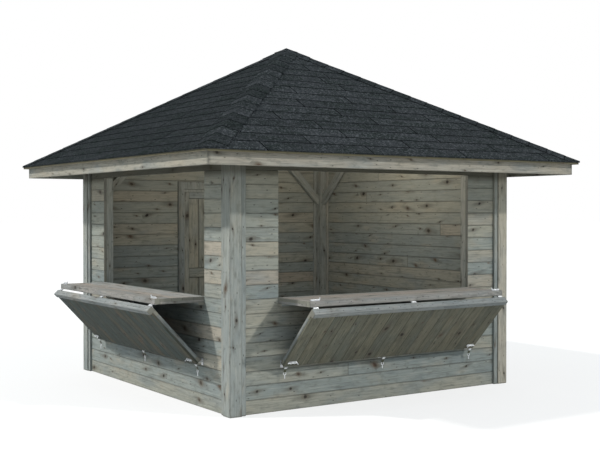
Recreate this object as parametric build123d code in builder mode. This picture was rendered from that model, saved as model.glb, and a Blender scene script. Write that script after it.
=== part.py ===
from build123d import *
from math import cos, radians, sin, sqrt, tan
import os

# Wooden market hut on a square plan, with a hipped pyramid roof. Millimetres.
# The origin is the middle of the plan at ground level, -Y is the front and +Z is up.

# Plan and walls
half_width = 1500.0  # centre to the outer face of a corner post
board_pitch = 114.4  # visible height of one wall board
wall_thickness = 28.0
wall_recess = 30.0  # wall face behind the corner post face
wall_boards = 19
sill_boards = 8  # boards below a hatch
head_boards = 17  # boards up to the top of a hatch

wall_face = half_width - wall_recess
wall_back = wall_face - wall_thickness
wall_height = wall_boards * board_pitch
sill_height = sill_boards * board_pitch
head_height = head_boards * board_pitch

# Corner posts: an outer square and an inner square that overlap on the diagonal
outer_post = 110.0
inner_post = 95.0
post_side = half_width - outer_post
inner_post_side = wall_back - inner_post
arris_chamfer = 3.0
cover_strip_width = 43.0
cover_strip_thickness = 20.0
edge_batten_width = 35.0
edge_batten_thickness = 18.0

# Hatch openings and their jambs
hatch_half = 1030.0
jamb_width = 45.0
jamb_depth = 70.0

# Top plates and knee braces
plate_height = 70.0
plate_depth = 95.0
plate_top = wall_height + plate_height
brace_foot = 1686.0
brace_width = 80.0
brace_thickness = 44.0
brace_gap = 4.0  # from the battens to a brace's face

# Roof
roof_pitch = 29.8
board_reach = 1960.0  # centre to the eave end of the roof boards
eave_height = 2049.0  # underside of the roof boards at that end
roof_board = 19.0
shingle_layer = 10.0
shingle_reach = 1968.0
cap_layer = 7.0
cap_width = 250.0
fascia_reach = 1918.0
fascia_thickness = 20.0
fascia_bottom = 1955.0
rafter_width = 45.0
rafter_depth = 95.0
hip_depth = 105.0
jack_place = 650.0
king_width = 110.0
king_foot = 2985.0
roof_margin = 400.0  # how far the cutting solids reach past the roof's own parts

slope = tan(radians(roof_pitch))
steep = 1 / cos(radians(roof_pitch))

# Door in the middle of the back wall, opening outwards
lining_inner = 381.0
lining_width = 40.0
lining_head = 1853.0
lining_depth = 58.0
threshold_height = 25.0
stop_side = 15.0
stop_head = 32.0
stop_thickness = 8.0
casing_width = 68.0
casing_head = 83.0
casing_thickness = 18.0
outer_casing_width = 50.0
outer_casing_thickness = 20.0
leaf_gap = 5.0
leaf_thickness = 40.0
stile_width = 69.0
top_rail = 94.0
lock_rail_bottom = 900.0
lock_rail_top = 1000.0
bottom_rail = 160.0
panel_thickness = 14.0
hinge_heights = (330.0, 1530.0)
hinge_stand_off = 13.0
knuckle_radius = 7.0
pintle_radius = 4.0
pintle_clearance = 0.1
pintle_drop = 1.5
strap_inset = 6.0
strap_length = 290.0
strap_height = 36.0
strap_tip = 10.0
strap_thickness = 4.0
handle_height = 950.0
handle_plate = (34.0, 180.0, 4.0)
lever_rise = 35.0
lever_reach = 46.0
lever_length = 105.0
lever_radius = 8.0

# Folding hatch: a level counter and a prop panel that slants back to the wall
counter_top = 920.0
counter_thickness = 46.0
counter_depth = 445.0
counter_board = 26.0
counter_rail = 45.0
prop_angle = 46.5
prop_length = 640.0
prop_thickness = 58.0
prop_top_y = -1985.0  # outer top edge of the prop panel
prop_top_z = 824.0
prop_rail = 45.0
prop_recess = 10.0
prop_plank = 20.0
sill_strip_height = 20.0
sill_strip_depth = 60.0
sill_strip_half = 1040.0
fold_hinge_x = (-982.0, 0.0, 982.0)
fold_hinge_length = 45.0
fold_stand_off = (14.0, 4.0)  # hinge line from the prop panel's inner top edge
fold_leaf = 45.0
fold_plate = 3.0
fold_barrel = 6.0
fold_groove = 1.0
latch_x = (-1000.0, 0.0, 1000.0)
foot_margin = 4.0
arm_place = 36.0
hasp_width = 28.0
hasp_plate = 4.0
hasp_barrel = 6.0
hasp_length = 44.0
hasp_lean = 24.0
ring_radius = 12.0
ring_wire = 2.5
pin_radius = 3.5
pin_length = 30.0
bolt_x = 962.0
bolt_length = 94.0
bolt_plate = 3.0
bolt_plate_width = 24.0
bolt_rod = 4.5
bolt_rise = 8.0
bolt_grip = 18.0
bolt_from_edge = 22.0
bolt_from_foot = 50.0


def save(piece, label):
    piece.part.label = label
    export_step(piece.part, f"parts/{label}.step")


def save_turned(piece, label, turn):
    """Write a copy of a finished piece, turned about the middle of the plan."""
    with BuildPart() as turned:
        add(piece.part, rotation=(0, 0, turn))
    save(turned, label)


def underside(distance):
    """Height of the roof boards' underside at a distance from the middle of the plan."""
    return eave_height + (board_reach - distance) * slope


os.makedirs("parts", exist_ok=True)

board_top = roof_board * steep
shingle_top = board_top + shingle_layer * steep
cap_top = shingle_top + cap_layer * steep

# Top plates, one on each wall, between the corner posts
with BuildPart() as top_plates:
    with BuildSketch(Plane.XY.offset(wall_height)):
        with PolarLocations(0, 4):
            with Locations((0, -wall_face + plate_depth / 2)):
                Rectangle(2 * inner_post_side, plate_depth)
    extrude(amount=plate_height)
save(top_plates, "top_plates")

# One corner post: outer square in the open, inner square behind the wall boards
with BuildPart() as corner_post:
    with BuildSketch():
        with Locations((-half_width, -half_width)):
            Rectangle(outer_post, outer_post, align=(Align.MIN, Align.MIN))
        with Locations((-wall_back, -wall_back)):
            Rectangle(inner_post, inner_post, align=(Align.MIN, Align.MIN))
    extrude(amount=plate_top)
    arris = corner_post.edges().filter_by(Axis.Z).group_by(Axis.X)[0].sort_by(Axis.Y)[0]
    chamfer(arris, arris_chamfer)
for turn, place in enumerate(("front_left", "front_right", "back_right", "back_left")):
    save_turned(corner_post, f"corner_post_{place}", 90 * turn)

# All four posts together, for the seats cut into the hip rafters
with BuildPart() as all_posts:
    for turn in range(4):
        add(corner_post.part, rotation=(0, 0, 90 * turn))

# Front wall, round its hatch. The wall boards end on the outer posts' sides.
with BuildPart() as wall_below_hatch:
    with BuildSketch():
        with Locations((0, -wall_face + wall_thickness / 2)):
            Rectangle(2 * post_side, wall_thickness)
    extrude(amount=sill_height)
save(wall_below_hatch, "front_wall_below_hatch")
save_turned(wall_below_hatch, "left_wall_below_hatch", -90)

pier_width = post_side - hatch_half
with BuildPart() as wall_piers:
    with BuildSketch(Plane.XY.offset(sill_height)):
        for side in (-1, 1):
            with Locations((side * (hatch_half + pier_width / 2), -wall_face + wall_thickness / 2)):
                Rectangle(pier_width, wall_thickness)
    extrude(amount=head_height - sill_height)
save(wall_piers, "front_wall_piers")
save_turned(wall_piers, "left_wall_piers", -90)

with BuildPart() as wall_lintel:
    with BuildSketch(Plane.XY.offset(head_height)):
        with Locations((0, -wall_face + wall_thickness / 2)):
            Rectangle(2 * post_side, wall_thickness)
    extrude(amount=wall_height - head_height)
save(wall_lintel, "front_wall_lintel")
save_turned(wall_lintel, "left_wall_lintel", -90)

# Jambs stand inside the wall boards beside each hatch
with BuildPart() as hatch_jambs:
    with BuildSketch():
        for turn in (0, -90):
            for side in (-1, 1):
                with Locations(Location((0, 0, 0), (0, 0, turn))):
                    with Locations((side * (hatch_half + jamb_width / 2), -wall_back + jamb_depth / 2)):
                        Rectangle(jamb_width, jamb_depth)
    extrude(amount=head_height)
save(hatch_jambs, "hatch_jambs")

# Closed right wall
with BuildPart() as right_wall:
    with BuildSketch():
        with Locations((wall_face - wall_thickness / 2, 0)):
            Rectangle(wall_thickness, 2 * post_side)
    extrude(amount=wall_height)
save(right_wall, "right_wall")

# Back wall, split beside and over the doorway
doorway_half = lining_inner + lining_width
doorway_top = lining_head + lining_width
side_width = post_side - doorway_half
for side, place in ((-1, "left"), (1, "right")):
    with BuildPart() as back_wall_side:
        with BuildSketch():
            with Locations((side * (doorway_half + side_width / 2), wall_face - wall_thickness / 2)):
                Rectangle(side_width, wall_thickness)
        extrude(amount=wall_height)
    save(back_wall_side, f"back_wall_{place}")
with BuildPart() as back_wall_over_door:
    with BuildSketch(Plane.XY.offset(doorway_top)):
        with Locations((0, wall_face - wall_thickness / 2)):
            Rectangle(2 * doorway_half, wall_thickness)
    extrude(amount=wall_height - doorway_top)
save(back_wall_over_door, "back_wall_over_door")

# Strips that cover the board ends beside each post, outside, and battens inside
with BuildPart() as outer_cover_strips:
    with BuildSketch():
        with PolarLocations(0, 4):
            for side in (-1, 1):
                strip_middle = post_side - cover_strip_width / 2
                with Locations((side * strip_middle, -wall_face - cover_strip_thickness / 2)):
                    Rectangle(cover_strip_width, cover_strip_thickness)
    extrude(amount=wall_height)
save(outer_cover_strips, "outer_cover_strips")

with BuildPart() as inner_edge_battens:
    with BuildSketch():
        with PolarLocations(0, 4):
            for side in (-1, 1):
                batten_middle = inner_post_side - edge_batten_width / 2
                with Locations((side * batten_middle, -wall_back + edge_batten_thickness / 2)):
                    Rectangle(edge_batten_width, edge_batten_thickness)
    extrude(amount=wall_height)
save(inner_edge_battens, "inner_edge_battens")

# Knee braces at 45 degrees between the inner posts and the top plates
brace_middle = wall_back - edge_batten_thickness - brace_gap - brace_thickness / 2
brace_rise = wall_height - brace_foot
brace_cut = brace_width * sqrt(2)
with BuildPart() as knee_braces:
    for turn in range(4):
        brace_plane = Plane.XZ.rotated((0, 0, 90 * turn))
        with BuildSketch(brace_plane.offset(brace_middle)):
            for side in (-1, 1):
                Polygon(
                    (side * inner_post_side, brace_foot),
                    (side * inner_post_side, brace_foot + brace_cut),
                    (side * (inner_post_side - brace_rise + brace_cut), wall_height),
                    (side * (inner_post_side - brace_rise), wall_height),
                    align=None,
                )
        extrude(amount=brace_thickness / 2, both=True)
save(knee_braces, "knee_braces")


def pyramid(raise_by, reach):
    """Solid pyramid under the roof boards' underside raised by a plumb height."""
    apex = underside(0) + raise_by
    foot = underside(reach) + raise_by
    with BuildPart() as solid:
        with BuildSketch(Plane.XZ):
            Polygon((-reach, foot), (0, apex), (reach, foot), align=None)
        extrude(amount=reach, both=True)
        with BuildSketch(Plane.YZ):
            Polygon((-reach, foot), (0, apex), (reach, foot), align=None)
        extrude(amount=reach, both=True, mode=Mode.INTERSECT)
    return solid


roof_space = pyramid(0, board_reach + roof_margin)

# King block at the apex, where the hip and common rafters meet
with BuildPart() as king_block:
    with BuildSketch(Plane.XY.offset(king_foot)):
        Rectangle(king_width, king_width)
    extrude(amount=underside(0) - king_foot)
    add(roof_space.part, mode=Mode.INTERSECT)
save(king_block, "king_block")

# Hip rafters, bevelled on top to both slopes and seated on the corner posts
hip_end = (fascia_reach - fascia_thickness) * sqrt(2)
hip_drop = hip_depth * sqrt(1 + slope * slope / 2)
with BuildPart() as hip_rafters:
    for turn in range(4):
        hip_plane = Plane.XZ.rotated((0, 0, 45 + 90 * turn))
        with BuildSketch(hip_plane):
            Polygon(
                (0, underside(0)),
                (hip_end, underside(hip_end / sqrt(2))),
                (hip_end, underside(hip_end / sqrt(2)) - hip_drop),
                (0, underside(0) - hip_drop),
                align=None,
            )
        extrude(amount=rafter_width / 2, both=True)
    add(roof_space.part, mode=Mode.INTERSECT)
    with BuildSketch():
        Rectangle(2 * (fascia_reach - fascia_thickness), 2 * (fascia_reach - fascia_thickness))
    extrude(amount=underside(0), mode=Mode.INTERSECT)
    with BuildSketch(Plane.XY.offset(king_foot - roof_margin)):
        Rectangle(king_width, king_width)
    extrude(amount=2 * roof_margin, mode=Mode.SUBTRACT)
    add(all_posts.part, mode=Mode.SUBTRACT)
    add(top_plates.part, mode=Mode.SUBTRACT)
save(hip_rafters, "hip_rafters")

# Common rafters in the middle of each slope and jack rafters that die into the hips
rafter_end = fascia_reach - fascia_thickness
rafter_drop = rafter_depth * steep
with BuildPart() as slope_rafters:
    for turn in range(4):
        rafter_plane = Plane.YZ.rotated((0, 0, 90 * turn))
        for place, top_end in ((0, king_width / 2), (-jack_place, jack_place), (jack_place, jack_place)):
            with BuildSketch(rafter_plane.offset(place)):
                Polygon(
                    (-rafter_end, underside(rafter_end)),
                    (-top_end, underside(top_end)),
                    (-top_end, underside(top_end) - rafter_drop),
                    (-rafter_end, underside(rafter_end) - rafter_drop),
                    align=None,
                )
            extrude(amount=rafter_width / 2, both=True)
    with BuildSketch(Plane.XY.offset(eave_height - roof_margin)):
        with PolarLocations(0, 4, start_angle=45):
            Rectangle(hip_end, rafter_width, align=(Align.MIN, Align.CENTER))
        Rectangle(king_width, king_width, mode=Mode.SUBTRACT)
    extrude(amount=underside(0), mode=Mode.SUBTRACT)
    add(top_plates.part, mode=Mode.SUBTRACT)
save(slope_rafters, "slope_rafters")


def slope_slab(low, high, reach):
    """One slope of a roof layer between two plumb heights, mitred at the hips."""
    with BuildPart() as slab:
        with BuildSketch(Plane.YZ):
            Polygon(
                (-reach, underside(reach) + low),
                (0, underside(0) + low),
                (0, underside(0) + high),
                (-reach, underside(reach) + high),
                align=None,
            )
        extrude(amount=reach, both=True)
        with BuildSketch():
            Polygon((0, 0), (-reach, -reach), (reach, -reach), align=None)
        extrude(amount=underside(0) + high, mode=Mode.INTERSECT)
    return slab


roof_boards = slope_slab(0, board_top, board_reach)
shingle_slope = slope_slab(board_top, shingle_top, shingle_reach)

# Fascia boards, bevelled on top to the roof boards and mitred at the corners
with BuildPart() as fascia:
    with BuildSketch(Plane.YZ):
        Polygon(
            (-fascia_reach, fascia_bottom),
            (-fascia_reach, underside(fascia_reach)),
            (-rafter_end, underside(rafter_end)),
            (-rafter_end, fascia_bottom),
            align=None,
        )
    extrude(amount=fascia_reach, both=True)
    with BuildSketch():
        Polygon((0, 0), (-fascia_reach, -fascia_reach), (fascia_reach, -fascia_reach), align=None)
    extrude(amount=underside(0), mode=Mode.INTERSECT)

for turn, place in enumerate(("front", "right", "back", "left")):
    save_turned(roof_boards, f"roof_boards_{place}", 90 * turn)
    save_turned(shingle_slope, f"shingle_slope_{place}", 90 * turn)
    save_turned(fascia, f"fascia_{place}", 90 * turn)

# Hip caps: folded strips along the four hips, joined at the apex
cap_core = pyramid(shingle_top, shingle_reach)
cap_shell = pyramid(cap_top, shingle_reach)
with BuildPart() as hip_caps:
    add(cap_shell.part)
    add(cap_core.part, mode=Mode.SUBTRACT)
    with BuildSketch():
        with PolarLocations(0, 2, start_angle=45, angular_range=180):
            Rectangle(4 * shingle_reach, cap_width)
    extrude(amount=underside(0) + roof_margin, mode=Mode.INTERSECT)
    with BuildSketch():
        Rectangle(2 * shingle_reach, 2 * shingle_reach)
    extrude(amount=underside(0) + roof_margin, mode=Mode.INTERSECT)
save(hip_caps, "hip_caps")

# Door lining: a rebated frame with a threshold, in the back wall
stop_inner = lining_inner - stop_side
with BuildPart() as door_lining:
    with BuildSketch(Plane.XZ.offset(-wall_back)):
        with Locations((0, doorway_top / 2)):
            Rectangle(2 * doorway_half, doorway_top)
        with Locations((0, (lining_head + threshold_height) / 2)):
            Rectangle(2 * lining_inner, lining_head - threshold_height, mode=Mode.SUBTRACT)
    extrude(amount=-lining_depth)
    with BuildSketch(Plane.XZ.offset(-wall_back)):
        with Locations((0, (lining_head + threshold_height) / 2)):
            Rectangle(2 * lining_inner, lining_head - threshold_height)
        with Locations((0, (lining_head - stop_head + threshold_height) / 2)):
            Rectangle(2 * stop_inner, lining_head - stop_head - threshold_height, mode=Mode.SUBTRACT)
    extrude(amount=-stop_thickness)
save(door_lining, "door_lining")

# Casings on both faces of the back wall
with BuildPart() as door_casings:
    with BuildSketch(Plane.XZ.offset(-wall_back)):
        with Locations((0, (lining_head + casing_head) / 2)):
            Rectangle(2 * (lining_inner + casing_width), lining_head + casing_head)
        with Locations((0, lining_head / 2)):
            Rectangle(2 * lining_inner, lining_head, mode=Mode.SUBTRACT)
    extrude(amount=casing_thickness)
    with BuildSketch(Plane.XZ.offset(-wall_face)):
        with Locations((0, (doorway_top + outer_casing_width) / 2)):
            Rectangle(2 * (doorway_half + outer_casing_width), doorway_top + outer_casing_width)
        with Locations((0, doorway_top / 2)):
            Rectangle(2 * doorway_half, doorway_top, mode=Mode.SUBTRACT)
    extrude(amount=-outer_casing_thickness)
save(door_casings, "door_casings")

# Door leaf: stiles and rails round two thin panels
leaf_inner_face = wall_back + stop_thickness + leaf_gap
leaf_outer_face = leaf_inner_face + leaf_thickness
leaf_half = lining_inner - leaf_gap
leaf_bottom = threshold_height + leaf_gap
leaf_top = lining_head - leaf_gap
panel_half = leaf_half - stile_width
panel_rows = (
    (leaf_bottom + bottom_rail, lock_rail_bottom),
    (lock_rail_top, leaf_top - top_rail),
)
with BuildPart() as door_frame:
    with BuildSketch(Plane.XZ.offset(-leaf_inner_face)):
        with Locations((0, (leaf_bottom + leaf_top) / 2)):
            Rectangle(2 * leaf_half, leaf_top - leaf_bottom)
        for low, high in panel_rows:
            with Locations((0, (low + high) / 2)):
                Rectangle(2 * panel_half, high - low, mode=Mode.SUBTRACT)
    extrude(amount=-leaf_thickness)
save(door_frame, "door_frame")

panel_middle = (leaf_inner_face + leaf_outer_face) / 2
with BuildPart() as door_panels:
    with BuildSketch(Plane.XZ.offset(-panel_middle)):
        for low, high in panel_rows:
            with Locations((0, (low + high) / 2)):
                Rectangle(2 * panel_half, high - low)
    extrude(amount=panel_thickness / 2, both=True)
save(door_panels, "door_panels")

# Strap hinges on the door's outer face: a tapered strap, cranked to an eye that turns on its pintle
hinge_x = -lining_inner + leaf_gap / 2
hinge_y = leaf_outer_face + hinge_stand_off
strap_start = -leaf_half + strap_inset
strap_end = strap_start + strap_length
with BuildPart() as door_hinges:
    for height in hinge_heights:
        with BuildSketch(Plane.XY.offset(height)):
            with Locations((strap_start, leaf_outer_face)):
                Rectangle(2 * strap_thickness, hinge_stand_off, align=(Align.MIN, Align.MIN))
            with Locations((hinge_x, hinge_y)):
                Rectangle(strap_start - hinge_x, strap_thickness, align=(Align.MIN, Align.CENTER))
                Circle(knuckle_radius)
                Circle(pintle_radius + pintle_clearance, mode=Mode.SUBTRACT)
        extrude(amount=strap_height / 2, both=True)
        with BuildSketch(Plane.XZ.offset(-leaf_outer_face)):
            Polygon(
                (strap_start, height - strap_height / 2),
                (strap_end, height - strap_tip),
                (strap_end, height + strap_tip),
                (strap_start, height + strap_height / 2),
                align=None,
            )
            with Locations((strap_end, height)):
                Circle(strap_tip)
        extrude(amount=-strap_thickness)
save(door_hinges, "door_hinges")

# Pintles on the door lining: a plate on its edge, a ledge under the strap's eye and an upright pin
lining_outer_face = wall_back + lining_depth
with BuildPart() as door_pintles:
    for height in hinge_heights:
        ledge_top = height - strap_height / 2 - pintle_drop
        with BuildSketch(Plane.XY.offset(ledge_top - strap_height / 2)):
            with Locations((hinge_x - knuckle_radius - pintle_drop, lining_outer_face)):
                Rectangle(lining_width - 5 * pintle_drop, strap_thickness, align=(Align.MAX, Align.MIN))
        extrude(amount=2 * strap_height)
        with BuildSketch(Plane.XY.offset(ledge_top)):
            with Locations((hinge_x, hinge_y)):
                Circle(knuckle_radius)
            with Locations((hinge_x, lining_outer_face)):
                Rectangle(3 * knuckle_radius, 2 * knuckle_radius, align=(Align.MAX, Align.MIN))
        extrude(amount=-knuckle_radius)
        with BuildSketch(Plane.XY.offset(ledge_top)):
            with Locations((hinge_x, hinge_y)):
                Circle(pintle_radius)
        extrude(amount=strap_height + 2 * pintle_drop)
save(door_pintles, "door_pintles")

# Lever handles on a long plate, inside and outside the leaf
handle_x = leaf_half - stile_width / 2
with BuildPart() as door_handle:
    for face, outwards in ((leaf_outer_face, 1), (leaf_inner_face, -1)):
        with BuildSketch(Plane.XZ.offset(-face)):
            with Locations((handle_x, handle_height)):
                SlotOverall(handle_plate[1], handle_plate[0], rotation=90)
        extrude(amount=-outwards * handle_plate[2])
        lever_start = (handle_x, face, handle_height + lever_rise)
        with BuildLine(Plane(lever_start, x_dir=(-1, 0, 0), z_dir=(0, 0, outwards))) as lever_path:
            FilletPolyline((0, 0), (0, -lever_reach), (lever_length, -lever_reach), radius=1.5 * lever_radius)
        with BuildSketch(Plane(lever_path.line @ 0, z_dir=lever_path.line % 0)):
            Circle(lever_radius)
        sweep(path=lever_path.line)
save(door_handle, "door_handle")

# Counter of the front hatch: boards on a deep front rail and three cross battens
counter_under = counter_top - counter_thickness
counter_edge = -wall_face - counter_depth
counter_middle = (counter_edge - wall_face) / 2
with BuildPart() as counter:
    with BuildSketch(Plane.XY.offset(counter_top - counter_board)):
        with Locations((0, counter_middle)):
            Rectangle(2 * hatch_half, counter_depth)
    extrude(amount=counter_board)
    with BuildSketch(Plane.XY.offset(counter_under)):
        with Locations((0, counter_edge)):
            Rectangle(2 * hatch_half, counter_rail, align=(Align.CENTER, Align.MIN))
        with Locations((0, counter_middle)):
            with GridLocations(hatch_half - counter_rail / 2, counter_depth, 3, 1):
                Rectangle(counter_rail, counter_depth)
    extrude(amount=counter_thickness - counter_board)
save(counter, "front_counter")
save_turned(counter, "left_counter", -90)

# Strip screwed to the wall under the counter
with BuildPart() as sill_strips:
    with BuildSketch(Plane.XY.offset(counter_under - sill_strip_height)):
        for turn in (0, -90):
            with Locations(Location((0, 0, 0), (0, 0, turn))):
                with Locations((0, -wall_face - sill_strip_depth / 2)):
                    Rectangle(2 * sill_strip_half, sill_strip_depth)
    extrude(amount=sill_strip_height)
save(sill_strips, "sill_strips")

# Prop panel: its own axes run along the hatch, down the slope and in through it
down = Vector(0, cos(radians(prop_angle)), -sin(radians(prop_angle)))
inwards = Vector(0, sin(radians(prop_angle)), cos(radians(prop_angle)))
prop_corner = Vector(0, prop_top_y, prop_top_z)
prop_face = Plane(origin=prop_corner, x_dir=Vector(1, 0, 0), z_dir=inwards)
plank_start = prop_recess
batten_start = prop_recess + prop_plank


def slope_rect(low, high, half):
    """Rectangle on the prop panel's plane between two distances down the slope."""
    with Locations((0, (low + high) / 2)):
        Rectangle(2 * half, high - low)


with BuildPart() as prop_planks:
    with BuildSketch(prop_face.offset(plank_start)):
        slope_rect(prop_rail, prop_length, hatch_half)
    extrude(amount=prop_plank)
save(prop_planks, "front_prop_planks")
save_turned(prop_planks, "left_prop_planks", -90)

with BuildPart() as prop_frame:
    with BuildSketch(prop_face):
        slope_rect(0, prop_rail, hatch_half)
    extrude(amount=prop_thickness)
    with BuildSketch(prop_face.offset(batten_start)):
        slope_rect(prop_rail, prop_length, hatch_half)
        for side in (-1, 1):
            with Locations((side * (hatch_half - prop_rail / 2) / 2, (prop_length + prop_rail) / 2)):
                Rectangle(hatch_half - 1.5 * prop_rail, prop_length - 3 * prop_rail, mode=Mode.SUBTRACT)
    extrude(amount=prop_thickness - batten_start)
save(prop_frame, "front_prop_frame")
save_turned(prop_frame, "left_prop_frame", -90)

# Butt hinges between the counter's underside and the prop panel's inner face
prop_inner_top = prop_corner + inwards * prop_thickness
fold_line = (prop_inner_top.Y + fold_stand_off[0], prop_inner_top.Z + fold_stand_off[1])
leaf_start = prop_inner_top
leaf_end = leaf_start + down * fold_leaf
leaf_end_in = leaf_end + inwards * fold_plate
leaf_start_in = leaf_start + inwards * fold_plate
with BuildPart() as fold_hinges:
    for place in fold_hinge_x:
        with BuildSketch(Plane.YZ.offset(place)):
            with Locations(fold_line):
                Circle(fold_barrel)
            with Locations((fold_line[0], counter_under)):
                Rectangle(fold_leaf, fold_plate, align=(Align.MIN, Align.MAX))
            Polygon(
                (leaf_start.Y, leaf_start.Z),
                (leaf_end.Y, leaf_end.Z),
                (leaf_end_in.Y, leaf_end_in.Z),
                fold_line,
                (leaf_start_in.Y, leaf_start_in.Z),
                align=None,
            )
        extrude(amount=fold_hinge_length / 2, both=True)
        for side in (-1, 1):
            with BuildSketch(Plane.YZ.offset(place + side * fold_hinge_length / 6)):
                with Locations(fold_line):
                    Circle(fold_barrel + fold_groove)
                    Circle(fold_barrel - fold_groove, mode=Mode.SUBTRACT)
            extrude(amount=fold_groove / 2, both=True, mode=Mode.SUBTRACT)
save(fold_hinges, "front_fold_hinges")
save_turned(fold_hinges, "left_fold_hinges", -90)

# Barrel bolts: two on the counter's top and two low on the prop panel
bolt_on_counter = Plane.XY.offset(counter_top)
bolt_on_prop = Plane(origin=prop_corner + inwards * plank_start, x_dir=Vector(1, 0, 0), z_dir=-inwards)


def barrel_bolt(face, across, along):
    """One bolt lying along the hatch on a face: plate, two saddles and a rod bent out at its inner end."""
    middle = face.origin + face.x_dir * across + face.y_dir * along
    inner = face.x_dir
    with BuildSketch(face) as plate:
        with Locations((across, along)):
            SlotOverall(bolt_length - 2 * bolt_rod, bolt_plate_width)
    extrude(plate.sketch, amount=bolt_plate)
    for place in (-bolt_length / 5, bolt_length / 5):
        saddle_plane = Plane(middle + inner * place, x_dir=face.y_dir, z_dir=inner)
        with BuildSketch(saddle_plane) as saddle:
            with Locations(saddle_plane.to_local_coords(middle + face.z_dir * bolt_rise + inner * place)):
                Rectangle(3 * bolt_rod, 3 * bolt_rod)
        extrude(saddle.sketch, amount=bolt_rod, both=True)
    rod_plane = Plane(middle, x_dir=inner, z_dir=inner.cross(face.z_dir))
    with BuildLine(rod_plane) as rod_path:
        FilletPolyline(
            (-bolt_length / 2, bolt_rise),
            (bolt_length / 2 - bolt_rod, bolt_rise),
            (bolt_length / 2 - bolt_rod, bolt_rise + bolt_grip),
            radius=1.4 * bolt_rod,
        )
    with BuildSketch(Plane(rod_path.line @ 0, z_dir=rod_path.line % 0)) as rod:
        Circle(bolt_rod)
    sweep(rod.sketch, path=rod_path.line)


with BuildPart() as barrel_bolts:
    barrel_bolt(bolt_on_counter, -bolt_x, counter_edge + bolt_from_edge)
    barrel_bolt(bolt_on_prop, -bolt_x, bolt_from_foot - prop_length)
    mirror(about=Plane.YZ)
save(barrel_bolts, "front_barrel_bolts")
save_turned(barrel_bolts, "left_barrel_bolts", -90)

# Foot brackets hold the prop panel off the wall. Each carries a hanging hasp with a ring and a drop pin.
foot_outer = prop_corner + down * prop_length
foot_low = foot_outer + inwards * foot_margin
foot_high = foot_outer + inwards * (prop_thickness - foot_margin)
foot_plate = (foot_low, foot_high, foot_high + down * hasp_plate, foot_low + down * hasp_plate)
arm_start = foot_outer + inwards * arm_place + down * hasp_plate
hasp_pivot = foot_low + inwards * hasp_barrel + down * hasp_barrel
hasp_run = Vector(0, sin(radians(hasp_lean)), -cos(radians(hasp_lean)))
hasp_out = Vector(0, -cos(radians(hasp_lean)), -sin(radians(hasp_lean)))
hasp_tip = hasp_pivot + hasp_run * hasp_length
ring_middle = hasp_tip + Vector(0, 0, -ring_radius)
with BuildPart() as hatch_latches:
    for place in latch_x:
        across = Vector(place, 0, 0)
        with BuildSketch(Plane.YZ.offset(place)):
            Polygon(*[(corner.Y, corner.Z) for corner in foot_plate], align=None)
            with Locations((-wall_face, arm_start.Z)):
                Rectangle(hasp_plate, 2 * hasp_width, align=(Align.MAX, Align.CENTER))
            Polygon(
                (-wall_face, arm_start.Z - hasp_plate),
                (-wall_face, arm_start.Z + hasp_plate),
                (arm_start.Y, arm_start.Z + hasp_plate),
                (arm_start.Y, arm_start.Z - hasp_plate),
                align=None,
            )
            with Locations((hasp_pivot.Y, hasp_pivot.Z)):
                Circle(hasp_barrel)
        extrude(amount=hasp_width / 2, both=True)
        with BuildSketch(Plane(hasp_pivot + across, x_dir=Vector(1, 0, 0), z_dir=hasp_out)):
            Polygon(
                (-hasp_width / 2, 0),
                (hasp_width / 2, 0),
                (hasp_width / 3, -hasp_length),
                (-hasp_width / 3, -hasp_length),
                align=None,
            )
        extrude(amount=hasp_plate / 2, both=True)
        with Locations(Location((place, ring_middle.Y, ring_middle.Z), (90, 0, 0))):
            Torus(ring_radius, ring_wire)
        with Locations((place, ring_middle.Y, ring_middle.Z - ring_radius - pin_length / 2)):
            Cylinder(pin_radius, pin_length)
save(hatch_latches, "front_hatch_latches")
save_turned(hatch_latches, "left_hatch_latches", -90)
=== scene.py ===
import random
from math import cos, pi, radians, sin, sqrt, tan

import bmesh
import bpy
from mathutils import Matrix, Vector


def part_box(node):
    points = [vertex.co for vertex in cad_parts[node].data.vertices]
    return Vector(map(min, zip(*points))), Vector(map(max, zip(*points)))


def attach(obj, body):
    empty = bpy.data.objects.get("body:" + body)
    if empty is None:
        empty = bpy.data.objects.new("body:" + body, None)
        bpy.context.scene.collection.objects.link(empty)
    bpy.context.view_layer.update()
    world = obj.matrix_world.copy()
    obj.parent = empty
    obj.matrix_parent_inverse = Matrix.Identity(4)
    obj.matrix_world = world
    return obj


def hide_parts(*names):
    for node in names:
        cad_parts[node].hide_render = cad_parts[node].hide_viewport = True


# Wooden market hut: every board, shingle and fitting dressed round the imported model.
# Metres. -Y is the front, -X the left side, +Z up, the ground is z = 0.

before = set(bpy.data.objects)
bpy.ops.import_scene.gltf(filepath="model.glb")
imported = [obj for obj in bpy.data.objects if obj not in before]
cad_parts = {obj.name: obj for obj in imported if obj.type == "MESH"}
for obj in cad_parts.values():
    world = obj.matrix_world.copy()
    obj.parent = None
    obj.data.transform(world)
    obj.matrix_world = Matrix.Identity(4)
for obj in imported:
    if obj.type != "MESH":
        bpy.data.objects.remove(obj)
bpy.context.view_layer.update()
chance = random.Random(1803)
up = Vector((0, 0, 1))

# Rows of wall boards: below a hatch, up to its head, and in all
sill_rows = 8
head_rows = 17
wall_rows = 19

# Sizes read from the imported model
below_low, below_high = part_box("front_wall_below_hatch")
board_pitch = below_high.z / sill_rows
wall_half = below_high.x
wall_middle = -(below_low.y + below_high.y) / 2
wall_thickness = below_high.y - below_low.y
hatch_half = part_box("front_counter")[1].x
counter_low, counter_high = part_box("front_counter")
board_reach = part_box("roof_boards_front")[1].x
shingle_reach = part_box("shingle_slope_front")[1].x
eave_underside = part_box("roof_boards_front")[0].z
roof_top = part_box("hip_caps")[1].z

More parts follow.
